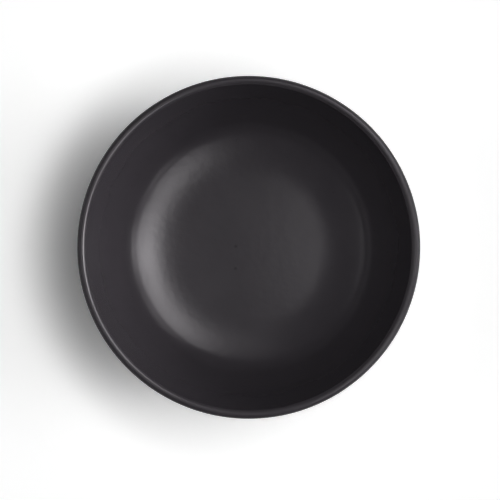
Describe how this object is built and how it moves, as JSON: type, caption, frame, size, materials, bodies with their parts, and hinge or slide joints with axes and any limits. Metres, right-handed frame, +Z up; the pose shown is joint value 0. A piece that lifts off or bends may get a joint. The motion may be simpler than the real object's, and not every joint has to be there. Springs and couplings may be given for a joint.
{
  "type": "ceramic bowl",
  "caption": "Round stoneware bowl with a flat well, steep wall, round lip and low foot ring, satin black glaze over bare clay foot.",
  "frame": {"origin": "centre of the foot ring's ground face, on the table", "axes": "+Z up along the bowl's axis, out of its mouth; X and Y are alike"},
  "size_m": [0.16, 0.16, 0.055],
  "materials": {
    "stoneware": "matte",
    "bare_clay": "matte",
    "black_glaze": "satin",
    "lip_glaze": "satin"
  },
  "bodies": {
    "root": {"stoneware_body": "stoneware", "foot_ring": "bare_clay", "inside_glaze": "black_glaze", "lip_glaze": "lip_glaze", "outside_glaze": "black_glaze", "base_glaze": "black_glaze"}
  },
  "joints": []
}
